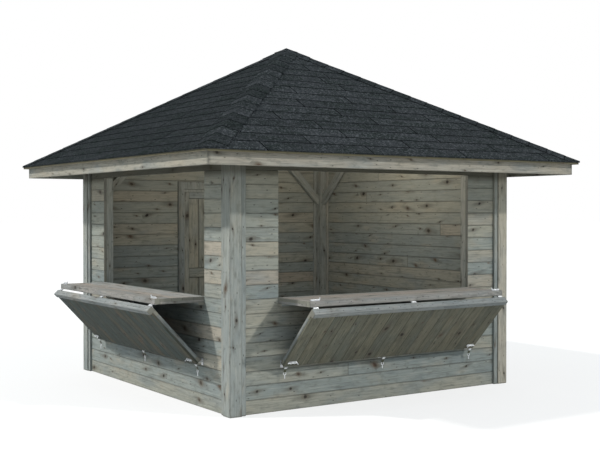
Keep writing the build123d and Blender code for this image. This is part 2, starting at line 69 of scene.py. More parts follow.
# Boards
board_gap = 0.0022
board_edge = 0.0022
post_edge = 0.003
joint_play = 0.001
unevenness = 0.0006
tongue_thickness = 0.008
longest_sure_board = 2.0
spliced_share = 0.4
splice_from_end = 0.6
end_face_lean = 0.6
merge_distance = 1e-5

# Heights between which the walls turn yellower, and between which painted shade darkens their outer faces
# under the eave
yellowed_low = 1.0
yellowed_high = 1.8
sheltered_low = 1.87
sheltered_high = 1.945

# Roof. A surplus is cut off again at the eave or the hips.
roof_pitch = radians(29.8)
slope = tan(roof_pitch)
steep = 1 / cos(roof_pitch)
roof_board = 0.019
roof_board_pitch = 0.115
roof_board_edge = 0.0012
eave_surplus = 0.02
board_surplus = 0.05
shingle_surplus = 0.03
shingle_layer = 0.010
shingle_strip = 1.0
shingle_joint = 0.006
shingle_thinning = 0.0032
course_height = 0.145

# Folded shingles along the hips
cap_exposure = 0.172
cap_lap = 0.02
cap_half_width = 0.125
cap_taper = 0.93
cap_sheet = 0.003
cap_butt = 0.0056
cap_seat = 0.0032
cap_fold = 0.012
shortest_cap = 0.1
crown_half = 0.17

# Folding hatches
counter_boards = 4
counter_board = 0.026
counter_rail = 0.045
prop_angle = radians(46.5)
prop_thickness = 0.058
prop_rail = 0.045
prop_recess = 0.010
prop_plank = 0.020
prop_length = 0.640
prop_planks = 18
plank_pitch = 2 * hatch_half / prop_planks
plank_middles = [-hatch_half + (number + 0.5) * plank_pitch for number in range(prop_planks)]
screw_height = 0.0016
screw_taper = 0.8
prop_screw = 0.0055
prop_screw_place = 0.4
counter_screw = 0.0045
counter_screw_drop = 0.018

# Door
panel_boards = 5

# Camera, fitted to corners of the hut in the photograph
camera_place = (-5.4949, -8.4563, 1.6156)
camera_yaw = radians(33.78)
camera_pitch = radians(-0.76)
camera_lens = 61.71
camera_sensor = 36.0

# Tints of the timber's marks
yellowed_tint = (0.325, 0.300, 0.218)
trail_tint = (0.080, 0.074, 0.060)
halo_tint = (0.115, 0.088, 0.062)
dead_knot = (0.024, 0.020, 0.017)
live_knot = (0.078, 0.046, 0.032)
resin_tint = (0.035, 0.030, 0.024)
# The next tint is painted shade under the eave.
sheltered_tint = (0.050, 0.044, 0.028)
# The next tint darkens board edges and ends with dirt and painted shade.
edge_dirt_and_shade_tint = (0.075, 0.072, 0.060)
worn_end_tint = (0.10, 0.10, 0.09)

# Tints of the felt and the zinc
felt_cloud = (0.008, 0.0125, 0.0105)
fine_granule = (0.12, 0.13, 0.14)
coarse_granule = (0.13, 0.14, 0.155)
# The next tint is painted shade along the laps, and also darkens granule pits and strip joints.
lap_shade_pit_and_joint_tint = (0.005, 0.006, 0.007)
spangle_tint = (0.9, 0.92, 0.95)
latch_paint = (0.060, 0.064, 0.040)


class Graph:
    """Nodes of one material or of the world, with short words for those that they share."""

    def __init__(self, owner):
        self.owner = owner
        owner.use_nodes = True
        self.tree = owner.node_tree
        self.tree.nodes.clear()

    def node(self, kind, inputs=None, **settings):
        made = self.tree.nodes.new("ShaderNode" + kind)
        for name, value in settings.items():
            setattr(made, name, value)
        for key, value in (inputs or {}).items():
            if isinstance(value, bpy.types.NodeSocket):
                self.tree.links.new(value, made.inputs[key])
            else:
                made.inputs[key].default_value = value
        return made

    def calc(self, operation, *values):
        inputs = dict(enumerate(values))
        return self.node("Math", inputs, operation=operation).outputs[0]

    def vector(self, operation, first, second):
        return self.node("VectorMath", {0: first, 1: second}, operation=operation).outputs["Vector"]

    def length(self, vector):
        return self.node("VectorMath", {0: vector}, operation="LENGTH").outputs["Value"]

    def parts(self, vector):
        return self.node("SeparateXYZ", {"Vector": vector}).outputs

    def smooth(self, value, low, high):
        """0 at low and 1 at high, eased between them."""
        inputs = {"Value": value, "From Min": low, "From Max": high}
        return self.node("MapRange", inputs, interpolation_type="SMOOTHSTEP").outputs["Result"]

    def scaled(self, value, low, high):
        """A value from 0 to 1 brought to the range from low to high."""
        return self.node("MapRange", {"Value": value, "To Min": low, "To Max": high}).outputs["Result"]

    def uv(self, name):
        return self.node("UVMap", uv_map=name).outputs[0]

    def tone(self):
        return self.node("Attribute", attribute_name="tone").outputs["Fac"]

    def place(self):
        """Where a point lies on its board, along and across, from -1 to 1."""
        return self.parts(self.uv("edge"))

    def spot(self):
        """Where a point lies on the hut, in metres."""
        return self.node("TexCoord").outputs["Object"]

    def noise(self, vector, scale, detail=2.0, roughness=0.55):
        """Noise with so many cells to the metre on each axis."""
        inputs = {"Vector": self.vector("MULTIPLY", vector, Vector(scale)), "Scale": 1.0,
                  "Detail": detail, "Roughness": roughness}
        return self.node("TexNoise", inputs).outputs["Fac"]

    def grain(self, metres, along, across, detail=2.0, roughness=0.55):
        """Noise over a board's metres along and across it."""
        return self.noise(metres, (along, across, 1.0), detail, roughness)

    def cells(self, vector, per_metre, **settings):
        """Three random values to each cell."""
        made = self.node("TexVoronoi", {"Vector": vector, "Scale": per_metre}, **settings)
        return self.node("SeparateColor", {"Color": made.outputs["Color"]}).outputs

    def scattered(self, metres, along, across, randomness=1.0, squeeze=1.0):
        """Points over the boards: three random values of the nearest, and the way from it in metres."""
        cells = self.vector("MULTIPLY", metres, Vector((along, across, 1.0)))
        inputs = {"Vector": cells, "Scale": 1.0, "Randomness": randomness}
        points = self.node("TexVoronoi", inputs, voronoi_dimensions="2D")
        away = self.vector("SUBTRACT", cells, points.outputs["Position"])
        away = self.vector("MULTIPLY", away, Vector((squeeze / along, 1 / across, 0.0)))
        return self.node("SeparateColor", {"Color": points.outputs["Color"]}).outputs, away

    def blend(self, share, first, second):
        inputs = {0: share, 6: first, 7: second}
        return self.node("Mix", inputs, data_type="RGBA", blend_type="MIX").outputs[2]

    def stain(self, colour, share, tint, strength=None):
        """Lay a tint over a colour, as strong as share times strength."""
        if strength is not None:
            share = self.calc("MULTIPLY", share, strength)
        return self.blend(share, colour, (*tint, 1))

    def ramp(self, value, stops):
        made = self.node("ValToRGB", {"Fac": value})
        points = made.color_ramp.elements
        while len(points) < len(stops):
            points.new(0.5)
        for point, (place, colour) in zip(points, stops):
            point.position = place
            point.color = (*colour, 1.0)
        return made.outputs["Color"]

    def sight(self):
        """1 on rays from the camera, a gloss or a glass, and 0 on those that carry light."""
        path = self.node("LightPath")
        seen = self.calc("MAXIMUM", path.outputs["Is Camera Ray"], path.outputs["Is Glossy Ray"])
        return self.calc("MAXIMUM", seen, path.outputs["Is Transmission Ray"])

    def shade(self, colour, roughness, height, depth, **sockets):
        """Close the graph with the surface, its relief and the output."""
        bump = self.node("Bump", {"Height": height, "Distance": depth, "Strength": 1.0})
        inputs = {"Base Color": colour, "Roughness": roughness, "Normal": bump.outputs[0]}
        inputs.update({key.replace("_", " "): value for key, value in sockets.items()})
        surface = self.node("BsdfPrincipled", inputs)
        self.node("OutputMaterial", {"Surface": surface.outputs[0]})
        return self.owner


class Knots:
    """Knots scattered over the boards, one at most to a cell.

    share is the distance from a knot's middle in knot radii, trail the same drawn out along the
    grain, and core is 1 on the knot. present is 1 where the cell has a knot, side is 1 or -1
    across the grain, and darkness is a random value of the knot.
    """

    def __init__(self, graph, metres):
        pick, away = graph.scattered(metres, 3.1, 8.7, randomness=0.9)
        way = graph.parts(away)
        slant = graph.calc("MULTIPLY", way[0], graph.scaled(pick[2], -0.30, 0.30))
        across = graph.calc("ADD", way[1], slant)

        def distance(squeeze):
            along = graph.calc("MULTIPLY", way[0], squeeze)
            return graph.length(graph.node("CombineXYZ", {0: along, 1: across}).outputs[0])

        wobble = graph.scaled(graph.grain(metres, 70.0, 95.0, 3.0, 0.7), 0.35, 1.65)
        self.radius = graph.scaled(graph.calc("POWER", pick[0], 2.2), 0.0050, 0.0175)
        self.present = graph.calc("GREATER_THAN", pick[1], 0.40)
        self.share = graph.calc("DIVIDE", graph.calc("MULTIPLY", distance(0.80), wobble), self.radius)
        self.trail = graph.calc("DIVIDE", distance(0.20), self.radius)
        self.core = graph.calc("MULTIPLY", graph.smooth(self.share, 1.3, 0.6), self.present)
        self.side = graph.calc("SIGN", way[1])
        self.darkness = pick[2]


def bowed(graph, metres, knots):
    """A board's metres bent so that the grain drifts and bows round the knots."""
    fade = graph.calc("EXPONENT", graph.calc("MULTIPLY", graph.calc("POWER", knots.share, 2.0), -0.16))
    bow = graph.calc("MULTIPLY", graph.calc("MULTIPLY", fade, knots.radius),
                     graph.calc("MULTIPLY", knots.side, knots.present))
    drift = graph.scaled(graph.grain(metres, 1.3, 7.0), -0.014, 0.014)
    spot = graph.parts(metres)
    across = graph.calc("ADD", graph.calc("SUBTRACT", spot[1], bow), drift)
    return graph.node("CombineXYZ", {0: spot[0], 1: across}).outputs[0]


def yellowed(graph, colour, spot, streaks, shelter):
    """Yellower boards towards the top of the walls, where less rain reaches them."""
    share = graph.calc("MULTIPLY", graph.smooth(spot[2], yellowed_low, yellowed_high), 0.6 * shelter)
    return graph.stain(colour, share, yellowed_tint, graph.scaled(streaks, 0.2, 1.2))


def knotted(graph, colour, knots, streaks):
    """Knots with a brown halo and a dark trail along the grain."""
    trail = graph.calc("MULTIPLY", graph.smooth(knots.trail, 2.6, 0.3), knots.present)
    colour = graph.stain(colour, trail, trail_tint, graph.scaled(streaks, -0.2, 1.3))
    halo = graph.calc("MULTIPLY", graph.smooth(knots.share, 3.2, 0.8), knots.present)
    colour = graph.stain(colour, halo, halo_tint, graph.scaled(knots.darkness, 0.10, 0.75))
    heart = graph.stain((*dead_knot, 1), graph.smooth(knots.darkness, 0.68, 0.95), live_knot)
    core = graph.calc("MULTIPLY", knots.core, graph.scaled(knots.darkness, 0.98, 0.75))
    return graph.blend(core, colour, heart)


def small_marks(graph, metres):
    """Short dark dashes of resin and pin knots along the grain."""
    pick, away = graph.scattered(metres, 7.0, 21.0, squeeze=0.38)
    near = graph.smooth(graph.length(away), 0.0046, 0.0022)
    return graph.calc("MULTIPLY", near, graph.calc("GREATER_THAN", pick[0], 0.72))


def sheltered(graph, colour, spot, shelter):
    """Painted shade under the eave: a dark band on the outer faces only, where the eave's shadow falls."""
    outward = graph.calc("MAXIMUM", graph.calc("ABSOLUTE", spot[0]), graph.calc("ABSOLUTE", spot[1]))
    outside = graph.calc("GREATER_THAN", outward, wall_middle)
    share = graph.calc("MULTIPLY", graph.smooth(spot[2], sheltered_low, sheltered_high), shelter)
    return graph.stain(colour, share, sheltered_tint, outside)


def dirty_and_shaded_edges(graph, colour, blotches, joint):
    """Dirt and painted shade along a board's edges and at its ends, where the gaps between boards lie in
    shade.
    """
    place = graph.place()
    rim = graph.smooth(graph.calc("ABSOLUTE", place[1]), 0.90, 1.0)
    ends = graph.smooth(graph.calc("ABSOLUTE", place[0]), 0.985, 1.0)
    either = graph.calc("MAXIMUM", rim, ends)
    return graph.stain(colour, either, edge_dirt_and_shade_tint, graph.scaled(blotches, 0.0, joint))


def timber(name, tones, cool=(0.160, 0.192, 0.205), warm=(0.345, 0.290, 0.215), weather=0.50,
           pale=(0.43, 0.42, 0.36), dark=(0.100, 0.104, 0.092), joint=1.0, shelter=0.0, seed=0.0):
    """Weathered softwood: grain that bows round dark knots, cool and warm stains, board edges darkened by
    dirt and painted shade, and painted shade under the eave.
    """
    graph = Graph(bpy.data.materials.new(name))
    metres = graph.vector("ADD", graph.uv("grain"), Vector((seed, seed, 0.0)))
    knots = Knots(graph, metres)
    line = bowed(graph, metres, knots)
    rings = graph.grain(line, 1.4, 110.0, 3.0, 0.6)
    fibres = graph.grain(line, 14.0, 900.0, 2.0, 0.6)
    streaks = graph.grain(line, 4.5, 62.0, 4.0, 0.65)
    blotches = graph.grain(metres, 11.0, 26.0, 4.0, 0.6)
    damp = graph.grain(metres, 2.1, 5.5, 3.0, 0.55)

    colour = graph.ramp(graph.tone(), tones)
    colour = graph.stain(colour, graph.smooth(damp, 0.52, 0.32), cool, weather)
    colour = graph.stain(colour, graph.smooth(damp, 0.52, 0.72), warm, weather)
    colour = graph.stain(colour, graph.smooth(streaks, 0.52, 0.72), pale, 0.42)
    colour = graph.stain(colour, graph.smooth(streaks, 0.50, 0.32), dark, 0.50)
    colour = graph.stain(colour, graph.smooth(blotches, 0.50, 0.72), dark, 0.48)
    colour = graph.stain(colour, graph.smooth(rings, 0.50, 0.70), dark, 0.42)
    colour = graph.stain(colour, graph.smooth(fibres, 0.45, 0.75), pale, 0.22)

    spot = graph.parts(graph.spot())
    colour = yellowed(graph, colour, spot, streaks, shelter)
    colour = knotted(graph, colour, knots, streaks)
    colour = graph.stain(colour, small_marks(graph, metres), resin_tint, 0.75)
    # Painted shade under the eave, on the outer faces only.
    colour = sheltered(graph, colour, spot, shelter)
    # Dirt and painted shade along board edges and ends.
    colour = dirty_and_shaded_edges(graph, colour, blotches, joint)

    relief = graph.calc("SUBTRACT", graph.calc("MULTIPLY", fibres, 0.35), graph.calc("MULTIPLY", rings, 0.8))
    relief = graph.calc("SUBTRACT", relief, graph.calc("MULTIPLY", knots.core, 0.5))
    return graph.shade(colour, graph.scaled(rings, 0.72, 0.9), relief, 0.0009, Specular_IOR_Level=0.25)


def end_grain(name, pale, dark):
    """Sawn ends: year rings about a heart far outside the board, with fine speckle."""
    graph = Graph(bpy.data.materials.new(name))
    metres = graph.uv("grain")
    bend = graph.scaled(graph.grain(metres, 30.0, 30.0), -0.003, 0.003)
    heart = graph.vector("SUBTRACT", metres, Vector((20.0, 20.05, 0.0)))
    distance = graph.calc("ADD", graph.length(heart), bend)
    rings = graph.calc("SINE", graph.calc("MULTIPLY", distance, 1700.0))
    speckle = graph.scaled(graph.grain(metres, 700.0, 700.0), -0.2, 0.3)
    share = graph.calc("ADD", graph.scaled(rings, 0.1, 0.55), speckle)
    colour = graph.stain((*pale, 1), share, dark)
    colour = graph.stain(colour, graph.scaled(graph.tone(), 0.0, 0.35), worn_end_tint)
    return graph.shade(colour, 0.9, rings, 0.0003, Specular_IOR_Level=0.2)


def mineral_felt(name, base, pale):
    """Bitumen shingle with fine and coarse granules, clouded, dark where strips meet, and with painted shade
    where each course laps under the next.
    """
    graph = Graph(bpy.data.materials.new(name))
    metres = graph.uv("grain")
    tone = graph.tone()
    fine = graph.cells(metres, 260.0, voronoi_dimensions="2D")
    coarse = graph.cells(metres, 88.0, voronoi_dimensions="2D")
    clouds = graph.grain(metres, 3.0, 7.0, 4.0, 0.6)
    colour = graph.stain((*base, 1), tone, pale)
    colour = graph.stain(colour, graph.smooth(clouds, 0.40, 0.65), felt_cloud, 0.6)
    colour = graph.stain(colour, graph.smooth(fine[0], 0.6, 1.0), fine_granule, 0.24)
    speckled = graph.scaled(tone, 0.12, 0.38)
    colour = graph.stain(colour, graph.smooth(coarse[0], 0.70, 0.95), coarse_granule, speckled)
    place = graph.place()
    # Painted shade along each strip's upper edge, under the butt of the next course.
    lap = graph.smooth(place[1], 0.88, 0.96)
    joint = graph.smooth(graph.calc("ABSOLUTE", place[0]), 0.992, 0.998)
    pits = graph.calc("MULTIPLY", graph.smooth(coarse[1], 0.6, 1.0), 0.5)
    dark = graph.calc("MAXIMUM", pits, graph.calc("MAXIMUM", lap, joint))
    colour = graph.stain(colour, dark, lap_shade_pit_and_joint_tint)
    relief = graph.calc("ADD", fine[1], coarse[1])
    return graph.shade(colour, 0.95, relief, 0.0008, Specular_IOR_Level=0.0)


def plated_steel(name, colour, roughness, painted_span=None):
    """Zinc plated fittings: fine spangle and dull smears, painted dark between two heights."""
    graph = Graph(bpy.data.materials.new(name))
    spot = graph.spot()
    spangle = graph.cells(spot, 260.0)
    smear = graph.noise(spot, (35.0, 35.0, 35.0), 3.0, 0.6)
    dull = tuple(0.62 * part for part in colour)
    shade = graph.stain((*colour, 1), graph.smooth(smear, 0.4, 0.7), dull, 0.5)
    shade = graph.stain(shade, graph.scaled(spangle[0], 0.0, 0.18), spangle_tint)
    if painted_span:
        low, high = painted_span
        fade = 0.002
        height = graph.parts(spot)[2]
        painted = graph.calc("MULTIPLY", graph.smooth(height, low, low + fade),
                             graph.smooth(height, high + fade, high))
        shade = graph.stain(shade, painted, latch_paint)
    rough = graph.scaled(smear, roughness - 0.08, roughness + 0.15)
    return graph.shade(shade, rough, smear, 0.0002, Metallic=0.75)


# Tones of the boards of a finish, picked by each board's own value from 0 to 1
wall_tones = ((0.0, (0.205, 0.232, 0.226)), (0.3, (0.245, 0.265, 0.245)), (0.55, (0.270, 0.272, 0.235)),
              (0.8, (0.305, 0.295, 0.245)), (1.0, (0.330, 0.290, 0.240)))
post_tones = ((0.0, (0.235, 0.258, 0.255)), (0.6, (0.275, 0.288, 0.270)), (1.0, (0.400, 0.360, 0.295)))
fascia_tones = ((0.0, (0.245, 0.250, 0.218)), (0.5, (0.290, 0.275, 0.226)), (1.0, (0.320, 0.288, 0.240)))
# The roof timber's dark tones are painted shade under the eave and the roof.
roof_shade_tones = ((0.0, (0.088, 0.080, 0.046)), (0.5, (0.108, 0.096, 0.058)), (1.0, (0.130, 0.114, 0.074)))
hatch_tones = ((0.0, (0.110, 0.108, 0.082)), (0.5, (0.145, 0.136, 0.098)), (1.0, (0.165, 0.152, 0.112)))
# A darker copy of the hatch tones, as painted shade on the left prop panel.
left_hatch_shade_tones = ((0.0, (0.040, 0.052, 0.047)), (0.5, (0.058, 0.066, 0.055)), (1.0, (0.072, 0.070, 0.052)))
counter_tones = ((0.0, (0.225, 0.225, 0.222)), (0.5, (0.325, 0.280, 0.245)), (1.0, (0.300, 0.310, 0.310)))
rail_tones = ((0.0, (0.130, 0.140, 0.140)), (0.5, (0.165, 0.175, 0.172)), (1.0, (0.235, 0.245, 0.245)))
door_tones = ((0.0, (0.275, 0.282, 0.240)), (0.5, (0.325, 0.310, 0.250)), (1.0, (0.290, 0.306, 0.284)))

ends_finish = end_grain("sawn_ends", (0.27, 0.26, 0.22), (0.13, 0.125, 0.105))


def sawn(name, tones, **looks):
    """A timber for the long faces, and end grain for the sawn ends."""
    return timber(name, tones, **looks), ends_finish


# The walls and posts take the yellowing and the painted shade under the eave.
wall_finish = sawn("wall_boards_timber", wall_tones, shelter=0.8)
post_finish = sawn("post_timber", post_tones, seed=3.0, weather=0.45, shelter=0.6)
fascia_finish = sawn("fascia_timber", fascia_tones, seed=6.0, weather=0.45)
# Rafters, plates and roof boards take these dark tones as painted shade under the roof.
roof_finish = sawn("roof_board_timber", roof_shade_tones, seed=9.0, weather=0.3, cool=(0.085, 0.088, 0.066),
                   warm=(0.15, 0.125, 0.075), pale=(0.16, 0.145, 0.095), dark=(0.045, 0.040, 0.026))
hatch_finish = sawn("hatch_timber", hatch_tones, seed=12.0, weather=0.35, cool=(0.105, 0.125, 0.115),
                    warm=(0.190, 0.155, 0.100), pale=(0.29, 0.275, 0.22), dark=(0.052, 0.050, 0.038),
                    joint=0.4)
# The left prop panel's planks get this darker copy of the hatch timber, as painted shade.
left_hatch_shade_finish = sawn("left_hatch_painted_shade_timber", left_hatch_shade_tones, seed=13.0, weather=0.9,
                         cool=(0.042, 0.064, 0.062), warm=(0.098, 0.082, 0.054), pale=(0.13, 0.145, 0.13),
                         dark=(0.014, 0.017, 0.015), joint=0.9)
counter_finish = sawn("counter_timber", counter_tones, seed=15.0, weather=0.45, warm=(0.38, 0.29, 0.245))
rail_finish = sawn("prop_rail_timber", rail_tones, seed=16.0, weather=0.4, dark=(0.07, 0.075, 0.07))
# The door's board edges and ends are darkened hard, as painted shadow in the gaps of its leaf.
door_finish = sawn("door_timber", door_tones, seed=18.0, weather=0.4, joint=3.5)
felt_finish = (mineral_felt("bitumen_felt", (0.015, 0.0175, 0.019), (0.026, 0.029, 0.032)),) * 2
zinc_finish = plated_steel("zinc_plate", (0.62, 0.64, 0.66), 0.42)
latch_finish = plated_steel("latch_zinc", (0.62, 0.64, 0.66), 0.42, painted_span=(0.318, 0.347))
nail_finish = plated_steel("dark_nails", (0.05, 0.05, 0.05), 0.6)


def start_piece():
    """An empty mesh with the layers that the finishes read."""
    piece = bmesh.new()
    piece.loops.layers.uv.new("grain")
    piece.loops.layers.uv.new("edge")
    piece.verts.layers.float.new("tone")
    return piece


def spread(values):
    """Middle and half range of some numbers."""
    low = min(values)
    high = max(values)
    return (low + high) / 2, max((high - low) / 2, 1e-6)


def map_board(board, faces, along, tone):
    """Run the grain along one board, in metres, and note how near each corner is to the board's edges."""
    grain = board.loops.layers.uv["grain"]
    edge = board.loops.layers.uv["edge"]
    tones = board.verts.layers.float["tone"]
    shift = Vector((chance.uniform(0, 40), chance.uniform(0, 40)))
    along = along.normalized()
    other = along.orthogonal().normalized()
    middle, reach = spread([vert.co.dot(along) for face in faces for vert in face.verts])
    for face in faces:
        is_end = abs(face.normal.dot(along)) > end_face_lean
        first = other if is_end else along
        second = along.cross(other) if is_end else face.normal.cross(along).normalized()
        side_middle, side_reach = spread([vert.co.dot(second) for vert in face.verts])
        face.material_index = 1 if is_end else 0
        for loop in face.loops:
            spot = loop.vert.co
            loop[grain].uv = (spot.dot(first) + shift.x, spot.dot(second) + shift.y)
            run = (spot.dot(along) - middle) / reach
            side = (spot.dot(second) - side_middle) / side_reach
            loop[edge].uv = (run, side)
            loop.vert[tones] = tone


def trim(board, point, normal):
    """Cut away what lies beyond a plane and close the cut."""
    geometry = board.verts[:] + board.edges[:] + board.faces[:]
    bmesh.ops.bisect_plane(board, geom=geometry, dist=1e-6, plane_co=point, plane_no=normal, clear_outer=True)
    bmesh.ops.holes_fill(board, edges=board.edges[:], sides=0)


def join(board, piece):
    """Move one finished board into a piece."""
    scratch = bpy.data.meshes.new("scratch")
    board.to_mesh(scratch)
    board.free()
    piece.from_mesh(scratch)
    bpy.data.meshes.remove(scratch)


def soften(board, edges, width):
    """Chamfer some edges."""
    bmesh.ops.bevel(board, geom=edges, offset=width, offset_type="OFFSET", affect="EDGES", segments=1,
                    profile=0.5, material=-1, clamp_overlap=True)
    board.normal_update()


def turned(piece, turn):
    """Turn a piece about the middle of the plan."""
    bmesh.ops.rotate(piece, cent=Vector(), matrix=Matrix.Rotation(turn, 3, "Z"), verts=piece.verts)


def lay_board(piece, size, place, cuts=(), edge=board_edge, tone=None, shape=None):
    """Add a board, its length on its own X, width on Y and thickness on Z, cut by planes of the piece."""
    board = start_piece()
    bmesh.ops.create_cube(board, size=1.0)
    bmesh.ops.scale(board, vec=size, verts=board.verts)
    if shape:
        shape(board)
    back = place.inverted()
    for point, normal in cuts:
        trim(board, back @ point, back.to_3x3() @ normal)
    if not board.faces:
        board.free()
        return
    board.normal_update()
    if edge:
        soften(board, board.edges[:], edge)
    map_board(board, board.faces[:], Vector((1, 0, 0)), chance.random() if tone is None else tone)
    bmesh.ops.transform(board, matrix=place, verts=board.verts)
    join(board, piece)


def at(middle, along, across):
    """Place of a board whose middle, length and width are given."""
    along = Vector(along).normalized()
    across = Vector(across).normalized()
    through = along.cross(across)
    turn = Matrix((along, across, through)).transposed().to_4x4()
    return Matrix.Translation(middle) @ turn


def finish_piece(piece, name, finishes, replaced=(), body="hut", turn=0.0):
    """Make a piece an object of the scene that rides on a body and stands for CAD nodes."""
    turned(piece, turn)
    piece.normal_update()
    mesh = bpy.data.meshes.new(name)
    piece.to_mesh(mesh)
    piece.free()
    for finish in finishes:
        mesh.materials.append(finish)
    shown = bpy.data.objects.new(name, mesh)
    bpy.context.scene.collection.objects.link(shown)
    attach(shown, body)
    if replaced:
        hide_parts(*replaced)
    return shown


def merged_copy(node):
    """A CAD node's mesh as a bmesh of whole faces."""
    copy = start_piece()
    copy.from_mesh(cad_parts[node].data)
    bmesh.ops.remove_doubles(copy, verts=copy.verts, dist=merge_distance)
    bmesh.ops.dissolve_limit(copy, angle_limit=radians(1), verts=copy.verts, edges=copy.edges)
    copy.normal_update()
    return copy


def loose_parts(piece):
    """Lists of the faces of each separate solid, in an order that each run repeats."""
    met = set()
    for first in piece.faces:
        if first in met:
            continue
        met.add(first)
        part = []
        waiting = [first]
        while waiting:
            face = waiting.pop()
            part.append(face)
            for edge in face.edges:
                for neighbour in edge.link_faces:
                    if neighbour not in met:
                        met.add(neighbour)
                        waiting.append(neighbour)
        yield part


def boxes(node):
    """Lowest and highest corner of each separate solid of a CAD node."""
    copy = merged_copy(node)
    found = []
    for part in loose_parts(copy):
        spots = [vert.co for face in part for vert in face.verts]
        found.append((Vector(map(min, zip(*spots))), Vector(map(max, zip(*spots)))))
    copy.free()
    return sorted(found, key=lambda box: tuple(box[0]))


def dress(node, name, finishes, edge=board_edge, tone=None):
    """A CAD node with softened edges and grain along each of its timbers."""
    piece = merged_copy(node)
    soften(piece, piece.edges[:], edge)
    for part in loose_parts(piece):
        longest = max((edge for face in part for edge in face.edges), key=lambda edge: edge.calc_length())
        along = longest.verts[1].co - longest.verts[0].co
        map_board(piece, part, along, chance.random() if tone is None else tone)
    return finish_piece(piece, name, finishes, (node,))


def wall(name, replaced, turn, spans_of_row):
    """One wall of level tongued boards, laid as the front wall and turned to its side."""
    piece = start_piece()
    for row in range(wall_rows):
        for start, stop, low, high in spans_of_row(row):
            joints = [start, stop]
            if stop - start > longest_sure_board and chance.random() < spliced_share:
                joints.insert(1, chance.uniform(start + splice_from_end, stop - splice_from_end))
            for left, right in zip(joints, joints[1:]):
                proud = chance.uniform(-unevenness, unevenness)
                middle = Vector(((left + right) / 2, -wall_middle + proud, (low + high) / 2))
                size = (right - left, high - low - board_gap, wall_thickness)
                lay_board(piece, size, at(middle, (1, 0, 0), (0, 0, 1)))
            tongue = Vector(((start + stop) / 2, -wall_middle, high))
            tongue_size = (stop - start, 4 * board_gap, tongue_thickness)
            if high < wall_rows * board_pitch - board_gap:
                lay_board(piece, tongue_size, at(tongue, (1, 0, 0), (0, 0, 1)), edge=0.0, tone=0.0)
    return finish_piece(piece, name, wall_finish, replaced, turn=turn)


def hatch_spans(row):
    """Board spans of a wall with a serving hatch."""
    low = row * board_pitch
    high = low + board_pitch
    if sill_rows <= row < head_rows:
        return [(-wall_half, -hatch_half, low, high), (hatch_half, wall_half, low, high)]
    return [(-wall_half, wall_half, low, high)]


def closed_spans(row):
    """Board spans of a wall without an opening."""
    return [(-wall_half, wall_half, row * board_pitch, (row + 1) * board_pitch)]


def door_spans(row):
    """Board spans of the wall with the door: beside the lining, over it and across the top."""
    lining_low, lining_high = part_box("door_lining")
    low = row * board_pitch
    high = low + board_pitch
    if low >= lining_high.z:
        return [(-wall_half, wall_half, low, high)]
    sides = [(-wall_half, lining_low.x, low, high), (lining_high.x, wall_half, low, high)]
    if high > lining_high.z:
        sides.append((lining_low.x, lining_high.x, lining_high.z, high))
    return sides


def walls():
    parts = ("wall_below_hatch", "wall_piers", "wall_lintel")
    wall("front_wall_boards", [f"front_{part}" for part in parts], 0, hatch_spans)
    wall("left_wall_boards", [f"left_{part}" for part in parts], -pi / 2, hatch_spans)
    wall("right_wall_boards", ["right_wall"], pi / 2, closed_spans)
    back = ["back_wall_left", "back_wall_right", "back_wall_over_door"]
    wall("back_wall_boards", back, pi, door_spans)


def frame_timbers():
    """Posts, strips, jambs, braces, plates and rafters keep their CAD shape."""
    for place, tone in (("front_left", 0.45), ("front_right", 1.0), ("back_right", 0.6), ("back_left", 0.5)):
        dress(f"corner_post_{place}", f"post_{place}", post_finish, post_edge, tone=tone)
    for node in ("outer_cover_strips", "inner_edge_battens", "hatch_jambs", "knee_braces", "sill_strips"):
        dress(node, node + "_timber", post_finish)
    for node in ("hip_rafters", "slope_rafters", "king_block"):
        dress(node, node + "_timber", roof_finish)
    dress("top_plates", "top_plates_timber", roof_finish)
    for side in ("front", "right", "back", "left"):
        dress(f"fascia_{side}", f"fascia_board_{side}", fascia_finish)


def underside(distance):
    """Height of the roof boards' underside at a distance from the middle of the plan."""
    return eave_underside + (board_reach - distance) * slope


def slope_place(reach, plumb):
    """Place on the front slope: X along the eave, Y up the slope, Z out of the roof."""
    foot = Vector((0, -reach, underside(reach) + plumb))
    return at(foot, (1, 0, 0), (0, cos(roof_pitch), sin(roof_pitch)))


def slope_cuts(reach):
    """Planes that bound the front slope: both hips and the plumb cut at the eave."""
    hips = [(Vector(), Vector((side, 1, 0)).normalized()) for side in (1, -1)]
    return [*hips, (Vector((0, -reach, 0)), Vector((0, -1, 0)))]


def roof_boards(side, turn):
    """Boards of one slope, level along the eave and mitred at the hips."""
    piece = start_piece()
    lie = slope_place(board_reach, 0)
    cuts = slope_cuts(board_reach)
    start = -eave_surplus
    while start < board_reach * steep:
        reach = board_reach - start * cos(roof_pitch) + board_surplus
        middle = Matrix.Translation((0, start + roof_board_pitch / 2, roof_board / 2))
        size = (2 * reach, roof_board_pitch - board_gap, roof_board)
        lay_board(piece, size, lie @ middle, cuts, edge=roof_board_edge)
        start += roof_board_pitch
    finish_piece(piece, f"roof_boards_{side}_timber", roof_finish,
                 (f"roof_boards_{side}",), turn=turn)


def wedge(butt):
    """Shape of a shingle strip: flat below, and thickest along its lower edge."""
    def shape(board):
        for vert in board.verts:
            top = butt if vert.co.y < 0 else butt - shingle_thinning
            vert.co.z = top if vert.co.z > 0 else 0.0
    return shape


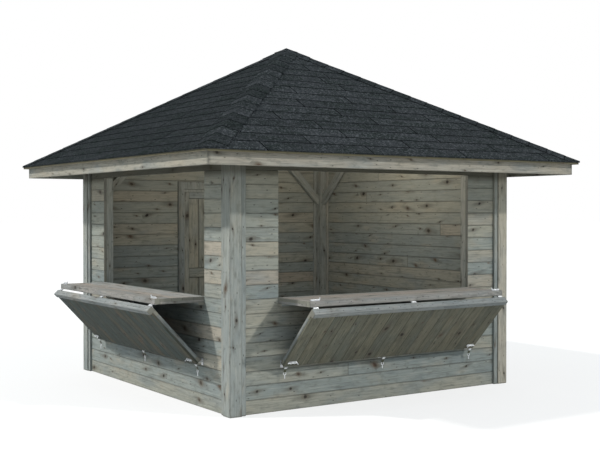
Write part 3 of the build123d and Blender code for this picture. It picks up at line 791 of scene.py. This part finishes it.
def shingles(side, turn):
    """Courses of shingle strips on one slope, with their end joints at random."""
    piece = start_piece()
    lie = slope_place(shingle_reach, roof_board * steep)
    cuts = slope_cuts(shingle_reach)
    # Painted shade: the left slope's strips take the darkest tones and the front's the lightest, so the left
    # slope looks darker than the front.
    tones = {"left": (0.0, 0.3), "front": (0.4, 1.0)}.get(side, (0.2, 0.8))
    length = shingle_reach * steep
    for course in range(int(length / course_height) + 1):
        low = course * course_height - (eave_surplus if course == 0 else 0)
        high = min((course + 1) * course_height, length)
        reach = shingle_reach - low * cos(roof_pitch) + shingle_surplus
        across = -reach - chance.uniform(0, shingle_strip)
        while across < reach:
            shape = wedge(shingle_layer + chance.uniform(-0.0012, 0.0))
            middle = Matrix.Translation((across + shingle_strip / 2, (low + high) / 2, 0))
            size = (shingle_strip - shingle_joint, high - low, shingle_layer)
            tone = chance.uniform(*tones)
            lay_board(piece, size, lie @ middle, cuts, edge=0.0, tone=tone, shape=shape)
            across += shingle_strip
    finish_piece(piece, f"shingles_{side}", felt_finish,
                 (f"shingle_slope_{side}",), turn=turn)


def folded_cap(apex, hip, low, top, raised):
    """One cap over the front right hip, from low to top as distances from the apex down the hip."""
    wings = {-1: Vector((0, -sin(roof_pitch), cos(roof_pitch))).cross(hip),
             1: Vector((sin(roof_pitch), 0, cos(roof_pitch))).cross(hip)}
    flat_side = Vector((1, 1, 0)).normalized()
    for side, wing in wings.items():
        wing *= side * cap_half_width / wing.dot(flat_side)
    cap = start_piece()
    bmesh.ops.create_grid(cap, x_segments=2, y_segments=1, size=1.0)
    for vert in cap.verts:
        side = round(vert.co.x)
        run, rise, taper = (low, raised, 1.0) if vert.co.y < 0 else (top, cap_seat, cap_taper)
        vert.co = apex + hip * run + up * rise * steep
        if side:
            vert.co += wings[side] * taper
    folds = [edge for edge in cap.edges if len(edge.link_faces) == 2]
    bmesh.ops.bevel(cap, geom=folds, offset=cap_fold, affect="EDGES", segments=2, profile=0.5, material=-1)
    cap.normal_update()
    if sum((face.normal for face in cap.faces), Vector()).z < 0:
        bmesh.ops.reverse_faces(cap, faces=cap.faces)
    bmesh.ops.solidify(cap, geom=cap.faces[:], thickness=cap_sheet)
    for normal in (Vector((1, 0, 0)), Vector((0, -1, 0))):
        trim(cap, normal * shingle_reach, normal)
    cap.normal_update()
    return cap


def hip_cap_row(piece, turn):
    """Folded caps lapped up one hip, from the eave corner to the apex."""
    apex = Vector((0, 0, underside(0) + (roof_board + shingle_layer) * steep))
    hip = Vector((1, -1, -slope)).normalized()
    length = Vector((shingle_reach, -shingle_reach, -slope * shingle_reach)).length
    low = length + shingle_surplus
    while low > shortest_cap:
        top = max(low - cap_exposure - cap_lap, 0.0)
        cap = folded_cap(apex, hip, low, top, cap_butt + chance.uniform(-0.0005, 0.0003))
        map_board(cap, cap.faces[:], hip.cross(up), chance.random())
        turned(cap, turn)
        join(cap, piece)
        low -= cap_exposure


def crown_cap():
    """Small four-sided cap over the apex."""
    crown = start_piece()
    rise = crown_half * slope
    bmesh.ops.create_cone(crown, cap_ends=False, segments=4, radius1=crown_half * sqrt(2), radius2=0.0,
                          depth=rise)
    bmesh.ops.remove_doubles(crown, verts=crown.verts, dist=merge_distance)
    turned(crown, pi / 4)
    bmesh.ops.translate(crown, vec=Vector((0, 0, roof_top - rise / 2)), verts=crown.verts)
    bmesh.ops.recalc_face_normals(crown, faces=crown.faces)
    crown.normal_update()
    if crown.faces[:][0].normal.z < 0:
        bmesh.ops.reverse_faces(crown, faces=crown.faces)
    bmesh.ops.solidify(crown, geom=crown.faces[:], thickness=cap_sheet)
    crown.normal_update()
    for part in loose_parts(crown):
        map_board(crown, part, Vector((1, 0, 0)), 0.4)
    return crown


def hip_caps():
    piece = start_piece()
    for quarter in range(4):
        hip_cap_row(piece, quarter * pi / 2)
    join(crown_cap(), piece)
    finish_piece(piece, "hip_cap_shingles", felt_finish, ("hip_caps",))


def counter(side, turn):
    """Level counter: boards along its length with a deeper rail at the front edge and battens under."""
    piece = start_piece()
    depth = counter_high.y - counter_low.y
    thickness = counter_high.z - counter_low.z
    under = thickness - counter_board
    rail_end = counter_low.y + counter_rail
    pitch = (depth - counter_rail) / counter_boards
    length = 2 * hatch_half
    for number in range(counter_boards):
        y = rail_end + (number + 0.5) * pitch
        middle = Vector((0, y, counter_high.z - counter_board / 2 + chance.uniform(-unevenness, 0)))
        size = (length, pitch - 2 * joint_play, counter_board)
        lay_board(piece, size, at(middle, (1, 0, 0), (0, 1, 0)))
    middle = Vector((0, counter_low.y + counter_rail / 2, counter_high.z - thickness / 2))
    size = (length, counter_rail - joint_play, thickness)
    lay_board(piece, size, at(middle, (1, 0, 0), (0, 1, 0)), tone=0.2)
    for place in (-hatch_half + counter_rail / 2, 0, hatch_half - counter_rail / 2):
        middle = Vector((place, (rail_end + counter_high.y) / 2, counter_low.z + under / 2))
        size = (depth - counter_rail - 2 * joint_play, counter_rail, under)
        lay_board(piece, size, at(middle, (0, 1, 0), (1, 0, 0)), tone=0.2)
    finish_piece(piece, f"{side}_counter_boards", counter_finish,
                 (f"{side}_counter",), turn=turn)


def prop_place():
    """Place of the front prop panel: X along the hatch, Y down the slope, Z in through the panel."""
    low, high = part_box("front_prop_frame")
    corner = Vector((0, low.y, high.z - prop_thickness * cos(prop_angle)))
    return at(corner, (1, 0, 0), (0, cos(prop_angle), -sin(prop_angle)))


def prop_boards(side, turn):
    """Planks of a prop panel, which run down its slope below the top rail."""
    lie = prop_place()
    piece = start_piece()
    for x in plank_middles:
        middle = Matrix.Translation((x, (prop_rail + prop_length) / 2, prop_recess + prop_plank / 2))
        size = (prop_length - prop_rail, plank_pitch - board_gap, prop_plank)
        lay_board(piece, size, lie @ middle @ Matrix.Rotation(pi / 2, 4, "Z"))
    # The left prop panel's planks take the darker timber, as painted shade.
    finishes = hatch_finish if side == "front" else left_hatch_shade_finish
    finish_piece(piece, f"{side}_prop_boards", finishes, (f"{side}_prop_planks",), turn=turn)


def prop_battens(side, turn):
    """Thick top rail of a prop panel, and the battens behind its planks."""
    lie = prop_place()
    piece = start_piece()
    top = Matrix.Translation((0, prop_rail / 2, prop_thickness / 2))
    lay_board(piece, (2 * hatch_half, prop_rail, prop_thickness), lie @ top, tone=0.95)
    depth = prop_thickness - prop_recess - prop_plank
    z = prop_thickness - depth / 2
    for y in (1.5 * prop_rail, prop_length - prop_rail / 2):
        level = Matrix.Translation((0, y, z))
        lay_board(piece, (2 * hatch_half, prop_rail, depth), lie @ level)
    for x in (-hatch_half + prop_rail / 2, 0, hatch_half - prop_rail / 2):
        upright = Matrix.Translation((x, (prop_length + prop_rail) / 2, z)) @ Matrix.Rotation(pi / 2, 4, "Z")
        lay_board(piece, (prop_length - 3 * prop_rail, prop_rail, depth), lie @ upright)
    finish_piece(piece, f"{side}_prop_battens", rail_finish,
                 (f"{side}_prop_frame",), turn=turn)


def screw_heads(piece, spots, direction, radius):
    """Low round heads that stand on a face."""
    facing = Vector(direction).to_track_quat("Z", "Y").to_matrix().to_4x4()
    for spot in spots:
        head = start_piece()
        bmesh.ops.create_cone(head, cap_ends=True, segments=10, radius1=radius, radius2=radius * screw_taper,
                              depth=screw_height)
        bmesh.ops.transform(head, matrix=Matrix.Translation(spot) @ facing, verts=head.verts)
        join(head, piece)


def hatch_screws(side, turn):
    """Dark heads, one to each plank, along the prop panel's top rail and the counter's front rail."""
    lie = prop_place()
    piece = start_piece()
    outward = lie.to_3x3() @ Vector((0, -1, 0))
    on_prop = [lie @ Vector((x, 0, prop_thickness * prop_screw_place)) for x in plank_middles]
    screw_heads(piece, on_prop, outward, prop_screw)
    on_counter = [Vector((x, counter_low.y, counter_high.z - counter_screw_drop)) for x in plank_middles]
    screw_heads(piece, on_counter, (0, -1, 0), counter_screw)
    finish_piece(piece, f"{side}_hatch_screws", (nail_finish,), turn=turn)


def door_frame(panels):
    """Stiles and rails of the door leaf, round its panels."""
    low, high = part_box("door_frame")
    y = (low.y + high.y) / 2
    depth = high.y - low.y
    stile = panels[0][0].x - low.x
    piece = start_piece()
    for x in (low.x + stile / 2, high.x - stile / 2):
        middle = Vector((x, y, (low.z + high.z) / 2))
        lay_board(piece, (high.z - low.z, stile, depth), at(middle, (0, 0, 1), (1, 0, 0)))
    levels = [low.z, panels[0][0].z, panels[0][1].z, panels[1][0].z, panels[1][1].z, high.z]
    for start, stop in zip(levels[::2], levels[1::2]):
        middle = Vector((0, y, (start + stop) / 2))
        size = (high.x - low.x - 2 * stile, stop - start, depth - joint_play)
        lay_board(piece, size, at(middle, (1, 0, 0), (0, 0, 1)))
    finish_piece(piece, "door_stiles_and_rails", door_finish, ("door_frame",), "door")


def door_panels(panels):
    """Upright boards of both door panels."""
    piece = start_piece()
    for low, high in panels:
        width = (high.x - low.x) / panel_boards
        size = (high.z - low.z, width - joint_play, high.y - low.y)
        for number in range(panel_boards):
            middle = (low + high) / 2
            middle.x = low.x + (number + 0.5) * width
            lay_board(piece, size, at(middle, (0, 0, 1), (1, 0, 0)))
    finish_piece(piece, "door_panel_boards", door_finish, ("door_panels",), "door")


def door():
    panels = sorted(boxes("door_panels"), key=lambda box: box[0].z)
    door_frame(panels)
    door_panels(panels)
    dress("door_lining", "door_lining_boards", post_finish)
    dress("door_casings", "door_casing_boards", post_finish)


def fittings():
    """Zinc plated hardware keeps its CAD shape and gets its finish."""
    nodes = ["door_hinges", "door_pintles", "door_handle"]
    for side in ("front", "left"):
        nodes += [f"{side}_{part}" for part in ("fold_hinges", "barrel_bolts", "hatch_latches")]
    for node in nodes:
        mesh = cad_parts[node].data
        mesh.materials.clear()
        mesh.materials.append(latch_finish if node.endswith("latches") else zinc_finish)


def pale_floor():
    """A wide floor that looks nearly white and throws less light back than it shows."""
    graph = Graph(bpy.data.materials.new("pale_floor"))
    dull = graph.node("BsdfDiffuse", {"Color": (0.49, 0.50, 0.50, 1)})
    pale = graph.node("BsdfDiffuse", {"Color": (0.80, 0.80, 0.80, 1)})
    white = graph.node("Emission", {"Color": (1, 1, 1, 1), "Strength": 1.0})
    shown = graph.node("MixShader", {0: 0.72, 1: pale.outputs[0], 2: white.outputs[0]})
    surface = graph.node("MixShader", {0: graph.sight(), 1: dull.outputs[0], 2: shown.outputs[0]})
    graph.node("OutputMaterial", {"Surface": surface.outputs[0]})
    ground = bmesh.new()
    bmesh.ops.create_grid(ground, x_segments=1, y_segments=1, size=120.0)
    mesh = bpy.data.meshes.new("studio_floor")
    ground.to_mesh(mesh)
    ground.free()
    mesh.materials.append(graph.owner)
    floor = bpy.data.objects.new("studio_floor", mesh)
    bpy.context.scene.collection.objects.link(floor)


def studio_air():
    """White to look at, and a soft cool light on the hut."""
    world = bpy.data.worlds.new("studio_air")
    bpy.context.scene.world = world
    graph = Graph(world)
    soft = graph.node("Background", {"Color": (0.81, 0.93, 1.0, 1), "Strength": 0.76})
    white = graph.node("Background", {"Color": (1, 1, 1, 1), "Strength": 1.0})
    shown = graph.node("MixShader", {0: graph.sight(), 1: soft.outputs[0], 2: white.outputs[0]})
    graph.node("OutputWorld", {"Surface": shown.outputs[0]})


def hold(name, data):
    """Put a lamp or a camera into the scene."""
    holder = bpy.data.objects.new(name, data)
    holder.rotation_mode = "QUATERNION"
    bpy.context.scene.collection.objects.link(holder)
    return holder


def far_lamp(name, towards, strength):
    """A broad far lamp whose light comes from a direction."""
    light = bpy.data.lights.new(name, "SUN")
    light.energy = strength
    light.angle = radians(3)
    light.color = (1.0, 0.98, 0.93)
    hold(name, light).rotation_quaternion = Vector(towards).to_track_quat("Z", "Y")


def inside_lamp():
    """A soft lamp under the roof, for the light that a camera's long exposure finds indoors."""
    light = bpy.data.lights.new("inside_fill", "POINT")
    light.energy = 41.0
    light.shadow_soft_size = 0.35
    light.color = (1.0, 0.97, 0.90)
    holder = hold("inside_fill", light)
    holder.location = (0.25, -0.35, 2.30)
    holder.visible_camera = False


def camera():
    """The photograph's place, height and lens."""
    view = bpy.data.cameras.new("view")
    view.sensor_fit = "HORIZONTAL"
    view.sensor_width = camera_sensor
    view.lens = camera_lens
    holder = hold("view", view)
    holder.location = camera_place
    forward = Vector((sin(camera_yaw) * cos(camera_pitch), cos(camera_yaw) * cos(camera_pitch),
                      sin(camera_pitch)))
    holder.rotation_quaternion = forward.to_track_quat("-Z", "Y")
    bpy.context.scene.camera = holder


walls()
frame_timbers()
for quarter, side in enumerate(("front", "right", "back", "left")):
    roof_boards(side, quarter * pi / 2)
    shingles(side, quarter * pi / 2)
hip_caps()
for side, turn in (("front", 0.0), ("left", -pi / 2)):
    counter(side, turn)
    prop_boards(side, turn)
    prop_battens(side, turn)
    hatch_screws(side, turn)
door()
fittings()
pale_floor()
studio_air()
far_lamp("front_lamp", (2.2, -3.0, 2.6), 1.65)
far_lamp("side_lamp", (-3.0, 1.6, 3.4), 3.0)
inside_lamp()
camera()
bpy.context.scene.view_settings.view_transform = "Standard"
